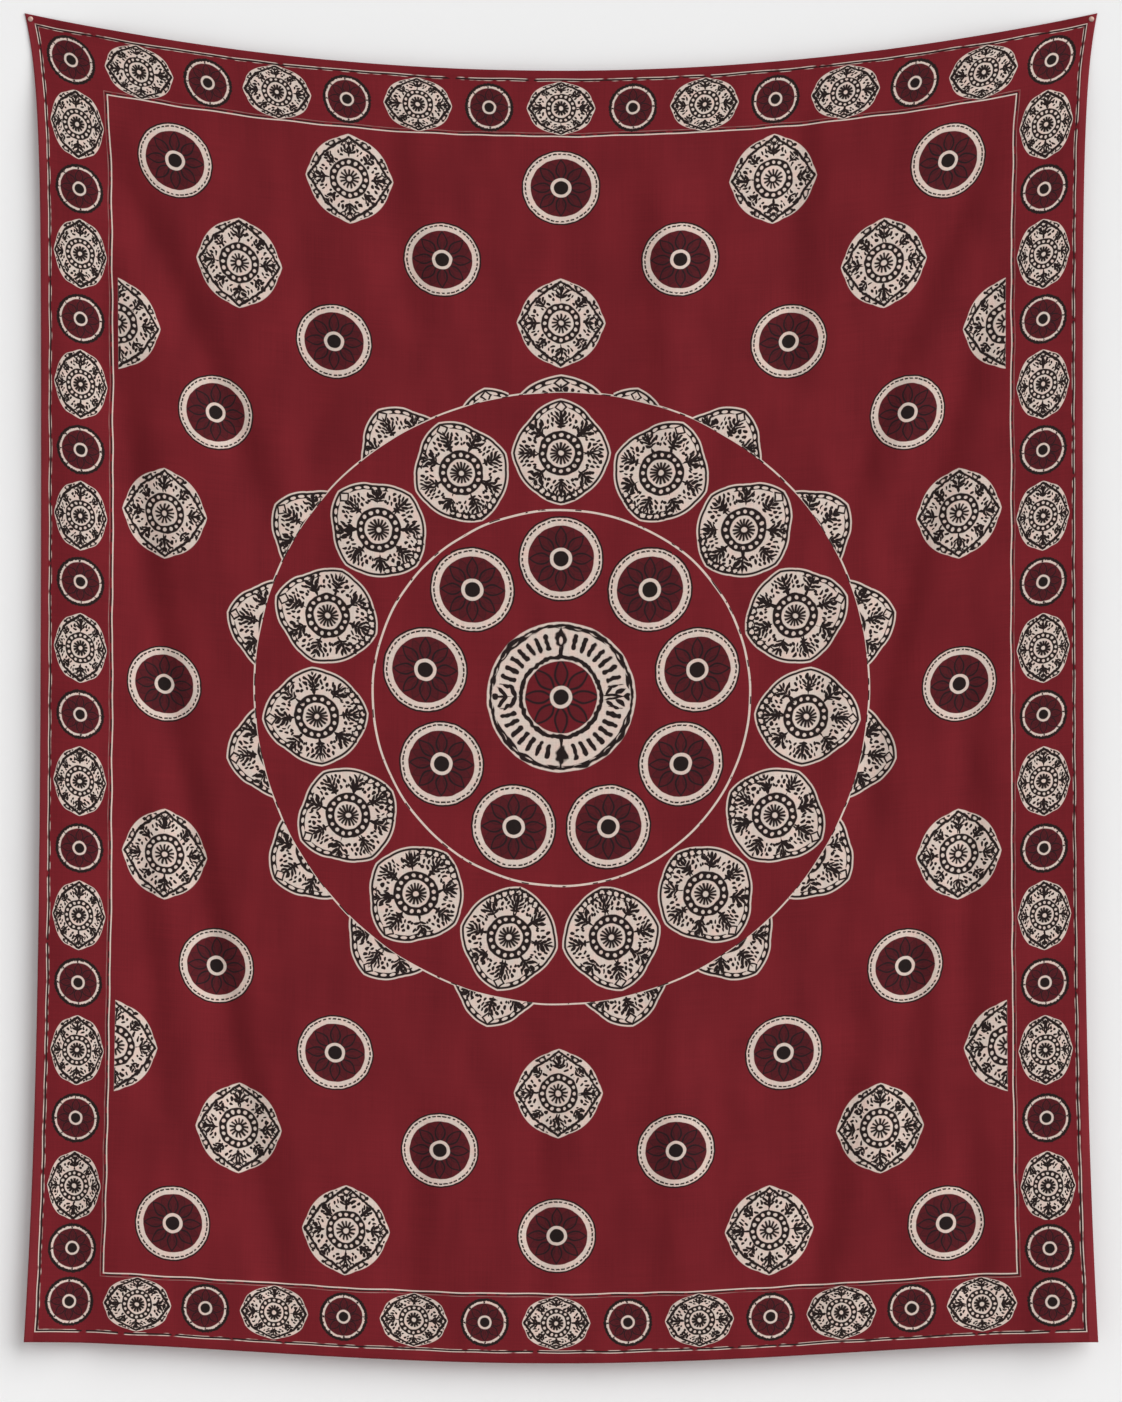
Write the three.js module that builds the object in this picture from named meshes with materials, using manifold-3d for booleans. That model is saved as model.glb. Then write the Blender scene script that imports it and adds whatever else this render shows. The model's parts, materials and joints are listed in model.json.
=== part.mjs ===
// Printed cotton bedsheet hung flat on a wall by a pin through each top corner.
//
// Millimetres, +Z up. The wall is the plane y = 0 and the room is on its -Y side, so the
// cloth lies at negative y. The origin is the point of the wall midway between the pins.
//
// The sheet is one closed solid: a front face, a back face a cloth's thickness behind it,
// and a rim. Both faces are one grid, spanned by (u, v): u runs from -1 at the left edge to
// 1 at the right edge, v from 0 at the top edge to 1 at the bottom edge.

import * as THREE from 'three';
import { mergeVertices } from 'three/addons/utils/BufferGeometryUtils.js';
import Module from 'manifold-3d';

// ---------------------------------------------------------------- driving dimensions

// Outline of the hanging sheet. The cut size is 2200 x 2700.
const SHEET = {
  cornerSpan: 2182,
  cornerRise: 12, // top corners above the pins
  cornerDrop: 2689, // bottom corners below the pins
  topSag: 118, // middle of the top edge below its corners
  bottomBow: 43, // middle of the bottom edge below its corners
  leftDraw: 35, // how far each side edge is drawn in
  rightDraw: 31,
  drawStart: 0.055, // share of the drop in which the sides draw in
  drawEnd: 5, // power with which they spread again towards the bottom corners
};

const CLOTH = {
  field: 1.6, // thickness of the single cloth
  hem: 2.8, // thickness of the turned hem
  hemWidth: 14,
  hemStep: 3, // width over which the hem's thickness falls to the cloth's
};

// Distance of the back face from the wall.
const STAND_OFF = {
  atPins: 1,
  top: 22,
  bottom: 42,
  flatRadius: 30, // round each pin the cloth is held flat within this radius
  freeRadius: 240, // and hangs free of the pin past this one
};

const PIN = {
  spacing: 2158,
  headRadius: 5.5,
  headHeight: 2.2,
  shankRadius: 0.9,
  pointLength: 3,
  length: 17, // from the back of the head to the point
  gap: 0.3, // between pin and cloth, all round
  sides: 16,
  domeSteps: 4,
};

const GRID = {
  columns: 56, // between the two side hems
  rows: 32, // between the top and the bottom hem
  sideDensity: 0.2, // how much closer the columns stand towards the sides
};

// Soft folds. Each runs from (x0, z0) down to (x1, z1) with a sideways bow at half its
// length. A positive depth is a trough towards the wall, a negative one a ridge. The
// width is that of one flank.
const FOLDS = [
  // drag folds that sweep down and inwards from the left corner
  { x0: -965, z0: -200, x1: -575, z1: -1130, bow: 35, depth: 21, width: 48 },
  { x0: -950, z0: -400, x1: -540, z1: -2720, bow: -25, depth: 24, width: 44 },
  { x0: -887, z0: -1385, x1: -816, z1: -2260, bow: 0, depth: 15, width: 40 },
  { x0: -520, z0: -330, x1: -500, z1: -1300, bow: 0, depth: 11, width: 46 },
  { x0: -1000, z0: -180, x1: -1010, z1: -2300, bow: 10, depth: -12, width: 60 },
  // the same from the right corner
  { x0: 915, z0: -150, x1: 540, z1: -1130, bow: -26, depth: 22, width: 46 },
  { x0: 537, z0: -1182, x1: 486, z1: -1792, bow: 0, depth: 12, width: 44 },
  { x0: 900, z0: -480, x1: 590, z1: -1760, bow: -39, depth: 24, width: 44 },
  { x0: 828, z0: -1263, x1: 816, z1: -2178, bow: 0, depth: 16, width: 38 },
  { x0: 726, z0: -1751, x1: 700, z1: -2321, bow: 0, depth: 16, width: 38 },
  { x0: 604, z0: -1955, x1: 476, z1: -2720, bow: 10, depth: 18, width: 44 },
  { x0: 822, z0: -2158, x1: 842, z1: -2640, bow: 0, depth: 13, width: 40 },
  // slack across the middle, in troughs and ridges
  { x0: -358, z0: -165, x1: -307, z1: -650, bow: 0, depth: 14, width: 46 },
  { x0: 212, z0: -236, x1: 226, z1: -938, bow: 0, depth: -18, width: 50 },
  { x0: 486, z0: -104, x1: 456, z1: -795, bow: 0, depth: 16, width: 48 },
  { x0: 226, z0: -1890, x1: 252, z1: -2640, bow: 0, depth: -18, width: 50 },
  { x0: -43, z0: -2077, x1: -63, z1: -2640, bow: 0, depth: 13, width: 46 },
  { x0: -297, z0: -2158, x1: -317, z1: -2720, bow: 0, depth: 16, width: 44 },
  // the loose bottom corners
  { x0: -1000, z0: -2300, x1: -965, z1: -2760, bow: 0, depth: 14, width: 48 },
  { x0: 1010, z0: -2300, x1: 1000, z1: -2760, bow: 0, depth: -11, width: 60 },
];

// ---------------------------------------------------------------- helpers

const mix = (a, b, t) => a + (b - a) * t;

function smoothStep(low, high, value) {
  const t = Math.min(1, Math.max(0, (value - low) / (high - low)));
  return t * t * (3 - 2 * t);
}

// ---------------------------------------------------------------- outline of the sheet

const pinX = PIN.spacing / 2;

function topEdge(u) {
  return SHEET.cornerRise - SHEET.topSag * (1 - u * u);
}

function bottomEdge(u) {
  return -SHEET.cornerDrop - SHEET.bottomBow * (1 - u * u) ** 2;
}

function sideDraw(u, v) {
  const draw = u < 0 ? SHEET.leftDraw : SHEET.rightDraw;
  return draw * (1 - Math.exp(-v / SHEET.drawStart)) * (1 - v ** SHEET.drawEnd);
}

function acrossWall(u, v) {
  return u * (SHEET.cornerSpan / 2 - sideDraw(u, v));
}

function upWall(u, v) {
  return mix(topEdge(u), bottomEdge(u), v);
}

// ---------------------------------------------------------------- relief of the sheet

// How far one fold presses the cloth towards the wall at (x, z).
function foldDepth(fold, x, z) {
  const along = (fold.z0 - z) / (fold.z0 - fold.z1);
  if (along <= 0 || along >= 1) return 0;
  const middle = mix(fold.x0, fold.x1, along) + 4 * fold.bow * along * (1 - along);
  const across = (x - middle) / fold.width;
  return fold.depth * (1 - (2 * along - 1) ** 4) * Math.exp(-across * across);
}

// Distance of the back face from the wall at (u, v).
function standOff(u, v) {
  const x = acrossWall(u, v);
  const z = upWall(u, v);
  const folds = FOLDS.reduce((sum, fold) => sum + foldDepth(fold, x, z), 0);
  const toPin = Math.hypot(Math.abs(x) - pinX, z);
  const free = smoothStep(STAND_OFF.flatRadius, STAND_OFF.freeRadius, toPin);
  return STAND_OFF.atPins + free * (mix(STAND_OFF.top, STAND_OFF.bottom, v) - folds);
}

// ---------------------------------------------------------------- grid of the sheet

// Grid lines from edge to edge: the hem, its step, then evenly spaced or warped lines.
function gridLines(length, count, warp) {
  const hem = CLOTH.hemWidth / length;
  const inner = (CLOTH.hemWidth + CLOTH.hemStep) / length;
  const lines = [0, hem];
  for (let i = 0; i <= count; i += 1) {
    lines.push(mix(inner, 1 - inner, warp(i / count)));
  }
  lines.push(1 - hem, 1);
  return lines;
}

// Moves evenly spaced columns closer together towards the sides.
function towardsSides(t) {
  const s = 2 * t - 1;
  const warped = s * (1 + GRID.sideDensity - GRID.sideDensity * s * s);
  return (warped + 1) / 2;
}

const meanWidth = SHEET.cornerSpan - SHEET.leftDraw - SHEET.rightDraw;
const meanHeight = SHEET.cornerDrop + SHEET.cornerRise - SHEET.topSag / 2;
const columnLines = gridLines(meanWidth, GRID.columns, towardsSides);
const rowLines = gridLines(meanHeight, GRID.rows, (t) => t);

// The hem is thicker than the field: its two outermost lines on each side.
function thicknessAt(column, row) {
  const inHem = column < 2 || column > columnLines.length - 3
    || row < 2 || row > rowLines.length - 3;
  return inHem ? CLOTH.hem : CLOTH.field;
}

// ---------------------------------------------------------------- solids

function sheetGeometry() {
  const wide = columnLines.length;
  const high = rowLines.length;
  const positions = [];
  for (const face of ['front', 'back']) {
    for (let row = 0; row < high; row += 1) {
      for (let column = 0; column < wide; column += 1) {
        const u = 2 * columnLines[column] - 1;
        const v = rowLines[row];
        const thickness = face === 'front' ? thicknessAt(column, row) : 0;
        positions.push(acrossWall(u, v), -standOff(u, v) - thickness, upWall(u, v));
      }
    }
  }

  const front = (column, row) => row * wide + column;
  const back = (column, row) => wide * high + front(column, row);
  const index = [];
  const quad = (a, b, c, d) => index.push(a, b, c, a, c, d);
  for (let row = 0; row + 1 < high; row += 1) {
    for (let column = 0; column + 1 < wide; column += 1) {
      const right = column + 1;
      const below = row + 1;
      quad(front(column, row), front(column, below), front(right, below), front(right, row));
      quad(back(column, row), back(right, row), back(right, below), back(column, below));
    }
  }
  for (let column = 0; column + 1 < wide; column += 1) {
    const right = column + 1;
    const last = high - 1;
    quad(front(column, 0), front(right, 0), back(right, 0), back(column, 0));
    quad(front(column, last), back(column, last), back(right, last), front(right, last));
  }
  for (let row = 0; row + 1 < high; row += 1) {
    const below = row + 1;
    const last = wide - 1;
    quad(front(0, row), back(0, row), back(0, below), front(0, below));
    quad(front(last, row), front(last, below), back(last, below), back(last, row));
  }

  const geometry = new THREE.BufferGeometry();
  geometry.setAttribute('position', new THREE.Float32BufferAttribute(positions, 3));
  geometry.setIndex(index);
  return geometry;
}

// A pin along Y: a domed head whose back is at y = 0, and a shank that runs to +Y.
function pinGeometry() {
  const profile = [];
  for (let step = 0; step <= PIN.domeSteps; step += 1) {
    const angle = (step / PIN.domeSteps) * (Math.PI / 2);
    const x = PIN.headRadius * Math.sin(angle);
    profile.push(new THREE.Vector2(x, -PIN.headHeight * Math.cos(angle)));
  }
  profile.push(new THREE.Vector2(PIN.shankRadius, 0));
  profile.push(new THREE.Vector2(PIN.shankRadius, PIN.length - PIN.pointLength));
  profile.push(new THREE.Vector2(0, PIN.length));
  return new THREE.LatheGeometry(profile, PIN.sides);
}

// ---------------------------------------------------------------- boolean cut

const wasm = await Module();
wasm.setup();

function toSolid(geometry) {
  const bare = geometry.clone();
  bare.deleteAttribute('normal');
  bare.deleteAttribute('uv');
  const merged = mergeVertices(bare);
  return new wasm.Manifold(new wasm.Mesh({
    numProp: 3,
    vertProperties: new Float32Array(merged.attributes.position.array),
    triVerts: new Uint32Array(merged.index.array),
  }));
}

function toGeometry(solid) {
  const mesh = solid.getMesh();
  const geometry = new THREE.BufferGeometry();
  geometry.setAttribute('position', new THREE.BufferAttribute(mesh.vertProperties, 3));
  geometry.setIndex(new THREE.BufferAttribute(mesh.triVerts, 1));
  return geometry;
}

// The hole that a pin's shank makes in the cloth, with the gap round the shank.
function pinHoleGeometry(x) {
  const radius = PIN.shankRadius + PIN.gap;
  const hole = new THREE.CylinderGeometry(radius, radius, PIN.length, PIN.sides);
  hole.translate(x, 0, 0);
  return hole;
}

// ---------------------------------------------------------------- scene graph

const printedCotton = new THREE.MeshStandardMaterial({
  name: 'printed_cotton', color: 0x74222a, roughness: 0.9, metalness: 0,
});
const pinSteel = new THREE.MeshStandardMaterial({
  name: 'pin_steel', color: 0xb9ada0, roughness: 0.4, metalness: 1,
});

function pinMesh(name, x) {
  const pin = new THREE.Mesh(pinGeometry(), pinSteel.clone());
  pin.name = name;
  pin.position.set(x, -(STAND_OFF.atPins + CLOTH.hem + PIN.gap), 0);
  return pin;
}

const pierced = toSolid(sheetGeometry())
  .subtract(toSolid(pinHoleGeometry(-pinX)))
  .subtract(toSolid(pinHoleGeometry(pinX)));
const sheet = new THREE.Mesh(toGeometry(pierced), printedCotton);
sheet.name = 'printed_sheet';

const bedsheet = new THREE.Group();
bedsheet.name = 'hung_bedsheet';
bedsheet.add(sheet, pinMesh('pin_left', -pinX), pinMesh('pin_right', pinX));

export default bedsheet;
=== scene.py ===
"""Block print bedsheet, hung flat on a wall by a steel pin through each top corner.

Metres, +Z up. The wall is the plane y = 0 and the room is on its -Y side. The origin is the
point of the wall midway between the two pins.

The sheet is spanned by (u, v): u runs from -1 at the left edge to 1 at the right, v from 0 at
the top edge to 1 at the bottom. The print is laid out on the flat cloth, in metres across from
its middle and down from its top edge.
"""

import json
import logging
import math
from collections.abc import Callable
from dataclasses import dataclass, field, replace
from enum import Enum
from functools import reduce
from typing import Any

import bpy
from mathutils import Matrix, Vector, kdtree, noise

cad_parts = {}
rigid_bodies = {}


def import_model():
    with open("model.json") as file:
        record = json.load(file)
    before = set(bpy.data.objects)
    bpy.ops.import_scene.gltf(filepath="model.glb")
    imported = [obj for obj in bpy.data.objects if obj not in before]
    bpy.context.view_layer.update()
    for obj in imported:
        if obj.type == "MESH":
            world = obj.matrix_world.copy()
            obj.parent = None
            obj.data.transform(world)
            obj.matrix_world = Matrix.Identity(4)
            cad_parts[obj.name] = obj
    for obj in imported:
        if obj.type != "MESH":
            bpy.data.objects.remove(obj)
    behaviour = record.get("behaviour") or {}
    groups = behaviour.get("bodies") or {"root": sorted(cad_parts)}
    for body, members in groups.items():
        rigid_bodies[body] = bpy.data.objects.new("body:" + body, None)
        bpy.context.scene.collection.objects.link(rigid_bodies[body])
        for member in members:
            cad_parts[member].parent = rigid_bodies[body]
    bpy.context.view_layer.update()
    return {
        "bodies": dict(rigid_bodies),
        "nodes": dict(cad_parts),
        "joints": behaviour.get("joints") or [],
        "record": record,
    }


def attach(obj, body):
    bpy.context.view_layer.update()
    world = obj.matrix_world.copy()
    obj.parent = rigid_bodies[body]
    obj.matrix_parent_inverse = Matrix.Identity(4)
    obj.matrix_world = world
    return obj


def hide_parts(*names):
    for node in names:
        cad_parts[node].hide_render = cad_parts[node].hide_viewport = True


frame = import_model()

log = logging.getLogger("bedsheet")

Pair = tuple[float, float]
Point = tuple[float, float, float]
Colour = tuple[float, float, float, float]


# ---- small helpers


def mix(a: float, b: float, t: float) -> float:
    """Returns the value a share t of the way from a to b."""
    return a + (b - a) * t


def smooth_step(low: float, high: float, value: float) -> float:
    """Eases from 0 to 1 as a value goes from low to high."""
    t = min(1.0, max(0.0, (value - low) / (high - low)))
    return t * t * (3 - 2 * t)


def dye(red: int, green: int, blue: int) -> Colour:
    """Turns a colour as a screen shows it into the linear one that nodes take.

    Args:
        red: from 0 to 255, as are green and blue.
        green: the green share.
        blue: the blue share.

    Returns:
        The linear colour, opaque.
    """
    shares = [value / 255 for value in (red, green, blue)]
    linear = [s / 12.92 if s <= 0.04045 else ((s + 0.055) / 1.055) ** 2.4 for s in shares]
    return (linear[0], linear[1], linear[2], 1.0)


def add_object(name: str, data: bpy.types.ID) -> bpy.types.Object:
    """Adds an object to the scene, with its mesh, lamp or camera."""
    thing = bpy.data.objects.new(name, data)
    bpy.context.scene.collection.objects.link(thing)
    return thing


# ---- shader expressions


def operator(operation: str, swap: bool = False) -> Callable[..., "Shade"]:
    """Makes a method of Shade that adds one Math node.

    Args:
        operation: what the node does.
        swap: whether the other value comes first.

    Returns:
        The method.
    """

    def method(shade: "Shade", *others: "Shade | float") -> "Shade":
        """Adds the node."""
        return shade.tree.math(operation, *((*others, shade) if swap else (shade, *others)))

    return method


class Shade:
    """One output of a node, with arithmetic that adds the Math nodes that it needs.

    The bar joins two masks, and fold gives the distance from the nearest even multiple of a half.
    """

    __add__, __radd__ = operator("ADD"), operator("ADD", swap=True)
    __sub__, __rsub__ = operator("SUBTRACT"), operator("SUBTRACT", swap=True)
    __mul__, __rmul__ = operator("MULTIPLY"), operator("MULTIPLY", swap=True)
    __or__, __abs__ = operator("MAXIMUM"), operator("ABSOLUTE")
    least, times, fold = operator("MINIMUM"), operator("MULTIPLY_ADD"), operator("PINGPONG")
    sine, cosine = operator("SINE"), operator("COSINE")

    def __init__(self, tree: "ShadeTree", socket: bpy.types.NodeSocket) -> None:
        """Wraps a socket of a tree."""
        self.tree = tree
        self.socket = socket

    def output(self, name: str) -> "Shade":
        """Returns another output of the same node."""
        return Shade(self.tree, self.socket.node.outputs[name])

    def share(self, factor: float, addend: float) -> "Shade":
        """Multiplies, adds and holds the result between 0 and 1."""
        return self.tree.math("MULTIPLY_ADD", self, factor, addend, clamp=True)

    def from_spoke(self, count: int) -> "Shade":
        """Returns the angle from the nearest of so many even spokes."""
        return (self * (count / math.tau)).fold(0.5) * (math.tau / count)

    def under(self, edge: "Shade | float", soft: float) -> "Shade":
        """Masks where the value is below an edge.

        Args:
            edge: the edge, a number or a value.
            soft: the width over which the mask falls.

        Returns:
            A mask, 1 below the edge.
        """
        if isinstance(edge, Shade):
            return (edge - self).share(1 / soft, 0.5)
        return self.share(-1 / soft, edge / soft + 0.5)

    def over(self, edge: float, soft: float) -> "Shade":
        """Masks where the value is above an edge, rising over a soft width."""
        return self.share(1 / soft, 0.5 - edge / soft)

    def near(self, middle: float, half: "Shade | float", soft: float) -> "Shade":
        """Masks a band about a middle, half its width to each side, with edges so soft."""
        return abs(self - middle).under(half, soft)


class ShadeTree:
    """The node tree of one material, or of the world."""

    def __init__(self, owner: bpy.types.Material | bpy.types.World) -> None:
        """Starts the empty tree of its owner."""
        self.owner = owner
        owner.use_nodes = True
        self.nodes = owner.node_tree.nodes
        self.links = owner.node_tree.links
        self.nodes.clear()

    def node(
        self,
        kind: str,
        settings: dict[str, Any],
        inputs: dict[str | int, Any],
        output: str | int = 0,
    ) -> Shade:
        """Adds a node.

        Args:
            kind: the node's type.
            settings: its own settings, which are set first.
            inputs: the values or links of its sockets.
            output: the output to return.

        Returns:
            That output.
        """
        node = self.nodes.new(kind)
        for name, value in settings.items():
            setattr(node, name, value)
        for key, value in inputs.items():
            if isinstance(value, Shade):
                self.links.new(value.socket, node.inputs[key])
            else:
                node.inputs[key].default_value = value
        return Shade(self, node.outputs[output])

    def math(self, operation: str, *values: "Shade | float", clamp: bool = False) -> Shade:
        """Adds a Math node, which may hold its result between 0 and 1."""
        settings = {"operation": operation, "use_clamp": clamp}
        return self.node("ShaderNodeMath", settings, dict(enumerate(values)))

    def span(self, x: Shade, y: Shade) -> Shade:
        """Returns the length of the hypotenuse over x and y."""
        return self.math("SQRT", x.times(x, y * y))

    def blend(self, share: "Shade | float", a: "Shade | Colour", b: "Shade | Colour") -> Shade:
        """Mixes two colours, with a share of the second."""
        settings = {"data_type": "RGBA"}
        return self.node("ShaderNodeMix", settings, {0: share, 6: a, 7: b}, output=2)

    def vectors(self, operation: str, *values: Any) -> Shade:
        """Adds a Vector Math node that works on its values in order."""
        return self.node("ShaderNodeVectorMath", {"operation": operation}, dict(enumerate(values)))

    def vector(self, x: "Shade | float", y: "Shade | float") -> Shade:
        """Joins two values into a vector."""
        return self.node("ShaderNodeCombineXYZ", {}, {"X": x, "Y": y})

    def looked_at(self) -> Shade:
        """Masks what the camera sees, straight or in bright metal."""
        path = self.node("ShaderNodeLightPath", {}, {}, "Is Camera Ray")
        return path | path.output("Is Glossy Ray")

    def map(self, name: str) -> Shade:
        """Reads a map of the mesh."""
        return self.node("ShaderNodeUVMap", {"uv_map": name}, {})

    def noise(self, place: Shade, scale: float, detail: float, output: str = "Fac") -> Shade:
        """Adds soft two-dimensional noise.

        Args:
            place: where it is read.
            scale: its number of cells per unit.
            detail: its octaves after the first.
            output: its value, or its colour for three values at once.

        Returns:
            The noise, about 0.5 on average.
        """
        settings = {"noise_dimensions": "2D"}
        inputs = {"Vector": place, "Scale": scale, "Detail": detail}
        return self.node("ShaderNodeTexNoise", settings, inputs, output)

    def end(self, shader: Shade) -> Any:
        """Ends the tree with a shader and returns its owner."""
        kind = "World" if isinstance(self.owner, bpy.types.World) else "Material"
        output = self.nodes.new(f"ShaderNodeOutput{kind}")
        self.links.new(shader.socket, output.inputs["Surface"])
        return self.owner


# ---- printing blocks


class Side(Enum):
    """The two sides of the cloth."""

    FACE = "face"
    REVERSE = "reverse"


class Block(Enum):
    """The wooden blocks that print the cloth, and the bare ground between them."""

    GROUND = "ground"
    ROUNDEL = "roundel"
    BORDER_ROUNDEL = "border_roundel"
    MEDALLION = "medallion"
    BORDER_MEDALLION = "border_medallion"
    WHEEL = "wheel"
    CLIPPED_WHEEL = "clipped_wheel"
    CENTRE = "centre"


@dataclass(frozen=True)
class Spot:
    """A place on a block, in units of its radius, with its main tip upwards."""

    STRAY_SCALE = 4.2
    ROUGH_SCALE = 15.0

    tree: ShadeTree
    x: Shade
    y: Shade
    radius: Shade
    angle: Shade
    rough: Shade
    press: Shade
    reach: Shade

    @staticmethod
    def on(tree: ShadeTree, place: Shade, seed: Shade, wander: float) -> "Spot":
        """Reads a place on a block whose lines wander as a hand-cut block's do.

        Args:
            tree: the tree to add to.
            place: the exact place on the block.
            seed: an offset that differs from print to print.
            wander: how far the lines stray.

        Returns:
            The place that is drawn there, fine noise that frays its edges, how hard the block
            pressed, about 0 on average, and the exact distance from the middle.
        """
        patch = tree.vectors("ADD", place, seed)
        stray = tree.noise(patch, Spot.STRAY_SCALE, 1.0, "Color")
        about = tree.vectors("SUBTRACT", stray, (0.5, 0.5, 0.5))
        moved = tree.vectors("MULTIPLY_ADD", about, (wander, wander, 1.0), place)
        parts = tree.node("ShaderNodeSeparateXYZ", {}, {0: moved})
        x, y = parts, parts.output("Y")
        rough = tree.noise(patch, Spot.ROUGH_SCALE, 0.0)
        angle = tree.math("ARCTAN2", x, y)
        reach = tree.vectors("LENGTH", place).output("Value")
        return Spot(tree, x, y, tree.span(x, y), angle, rough, parts.output("Z"), reach)

    def from_axis(self) -> tuple[Shade, Shade, Shade]:
        """Returns the angle and the distance from the nearest axis, and the distance along it."""
        quarter = self.angle.fold(math.pi / 4)
        return quarter, quarter.sine() * self.radius, quarter.cosine() * self.radius


@dataclass(frozen=True)
class Coats:
    """Where a block leaves each coat: masks of dark dye, bare cloth and ink, in that order."""

    deep: Shade | float
    bare: Shade | float
    ink: Shade | float


@dataclass(frozen=True)
class Leaf:
    """A leaf or dot: its middle, its lean from the axis in degrees, and its half sizes."""

    across: float
    along: float
    lean: float
    half_width: float
    half_length: float

    def reach(self, x: Shade, y: Shade) -> Shade:
        """Measures how far a place is from the middle of the leaf.

        Args:
            x: the place across the axis.
            y: the place along it.

        Returns:
            The square of the distance, which is 1 on the leaf's edge.
        """
        cos, sin = math.cos(math.radians(self.lean)), math.sin(math.radians(self.lean))
        wide, long = 1 / self.half_width, 1 / self.half_length
        p = x.times(cos * wide, (self.along * sin - self.across * cos) * wide)
        q = x.times(sin * long, -(self.across * sin + self.along * cos) * long)
        p, q = y.times(-sin * wide, p), y.times(cos * long, q)
        return p.times(p, q * q)


@dataclass(frozen=True)
class Foliage:
    """Sprigs on the four axes and the four diagonals of a block, and loops beside the axes."""

    on_axis: tuple[Leaf, ...]
    on_diagonal: tuple[Leaf, ...] = ()
    loops: tuple[Leaf, ...] = ()
    spread: float = 1.02
    sway: float = 0.14
    fray: float = 1.1
    press: float = 1.4
    leaf_soft: float = 0.6
    loop_at: float = 0.78
    loop_half: float = 0.50
    loop_soft: float = 0.4

    def ink(self, spot: Spot, x: Shade, y: Shade) -> Shade:
        """Draws the leaves and loops.

        Args:
            spot: the place on the block.
            x: the distance from the nearest axis.
            y: the distance along it.

        Returns:
            The mask of its ink.
        """
        half = math.sqrt(0.5)
        x = spot.press.times(self.sway, x)
        p, q = (y - x) * half, (x + y) * half
        reaches = [leaf.reach(x, y) for leaf in self.on_axis]
        reaches += [leaf.reach(p, q) for leaf in self.on_diagonal]
        nearest = reduce(Shade.least, reaches)
        nearest = spot.press.times(-self.press, spot.rough.times(-self.fray, nearest))
        ink = nearest.under(self.spread, self.leaf_soft)
        for loop in self.loops:
            ink = ink | loop.reach(x, y).near(self.loop_at, self.loop_half, self.loop_soft)
        return ink


@dataclass(frozen=True)
class Hub:
    """The wheel hub in the middle of every medallion."""

    ring: float = 0.368
    ring_half: float = 0.086
    beads: int = 16
    bead: float = 0.040
    star: float = 0.116
    eye: float = 0.060
    rays: int = 13
    ray_half: float = 0.025
    ray_to: float = 0.222

    def ink(self, spot: Spot, soft: float) -> Shade:
        """Draws the beaded ring and the rayed star inside it.

        Args:
            spot: the place on the block.
            soft: the softness of the printed edge.

        Returns:
            The mask of its ink.
        """
        r = spot.radius
        along = spot.angle.from_spoke(self.beads) * self.ring
        off = r - self.ring
        bead = off.times(off, along * along).under(self.bead**2, 2 * self.bead * soft)
        ring = abs(off).under(self.ring_half, soft) - bead
        across = spot.angle.from_spoke(self.rays) * r
        ray = across.under(self.ray_half, soft) * r.under(self.ray_to, soft)
        star = (ray | r.under(self.star, soft)) - r.under(self.eye, soft)
        return ring | star


@dataclass(frozen=True)
class Roundel:
    """A ring of bare cloth round a dark flower with a bare ring at its heart."""

    ring_out: float = 0.962
    ring_in: float = 0.775
    dash_at: float = 0.905
    dash_half: float = 0.020
    dashes: int = 44
    dash_share: float = 0.35
    dash_soft: float = 0.1
    dash_fray: float = 0.5
    ring_fray: float = 0.022
    petals: int = 8
    petal_from: float = 0.22
    petal_to: float = 0.745
    petal_half: float = 0.125
    petal_line: float = 0.019
    petal_soft: float = 0.03
    line_soft: float = 0.02
    ground_shade: float = 0.45
    petal_shade: float = 0.10
    line_shade: float = 0.50
    second_row: float = 0.40
    second_line: float = 1 / 32
    heart_out: float = 0.260
    heart_in: float = 0.182
    soft: float = 0.016

    def coats(self, spot: Spot) -> Coats:
        """Draws the roundel.

        Args:
            spot: the place on the block.

        Returns:
            Its coats.
        """
        flower = self.flower(spot) * spot.radius.under(self.ring_in, self.soft)
        heart = spot.radius.under(self.heart_out, self.soft)
        eye = spot.radius.under(self.heart_in, self.soft)
        return Coats(flower, self.within(spot, self.ring_out) | heart, self.rim_ink(spot) | eye)

    def within(self, spot: Spot, out: float) -> Shade:
        """Masks what lies between the ground of the flower and a frayed outer circle."""
        frayed = spot.rough.times(self.ring_fray, spot.radius)
        whole = frayed.under(out + self.ring_fray / 2, self.soft)
        return whole - spot.radius.under(self.ring_in, self.soft)

    def rim_ink(self, spot: Spot) -> Shade:
        """Draws the rim, and the dashes in the ring of bare cloth.

        Args:
            spot: the place on the block.

        Returns:
            The mask of its ink.
        """
        dash = spot.rough.times(self.dash_fray, spot.angle * (self.dashes / math.tau)).fold(0.5)
        dash = dash.under(self.dash_share, self.dash_soft)
        rim = spot.radius.under(1.0, self.soft) - spot.radius.under(self.ring_out, self.soft)
        return rim | dash * spot.radius.near(self.dash_at, self.dash_half, self.soft)

    def flower(self, spot: Spot) -> Shade:
        """Draws one or two rows of leaf petals, outlined in dark dye on a dark ground.

        Args:
            spot: the place on the block.

        Returns:
            How dark the flower is there.
        """
        span = self.petal_to - self.petal_from
        width = ((spot.radius - self.petal_from) * (math.pi / span)).sine() * self.petal_half
        front = spot.angle.from_spoke(self.petals) * spot.radius - width
        lines = abs(front).under(self.petal_line, self.line_soft)
        if self.second_row:
            turned = spot.angle + math.pi / self.petals
            behind = turned.from_spoke(self.petals) * spot.radius - width
            fall = self.second_row / self.second_line
            lines = lines | abs(behind).share(-fall, self.second_row)
            front = front.least(behind)
        petal = front.under(0.0, self.petal_soft).times(self.petal_shade, self.ground_shade)
        return lines.times(self.line_shade, petal)


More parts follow.
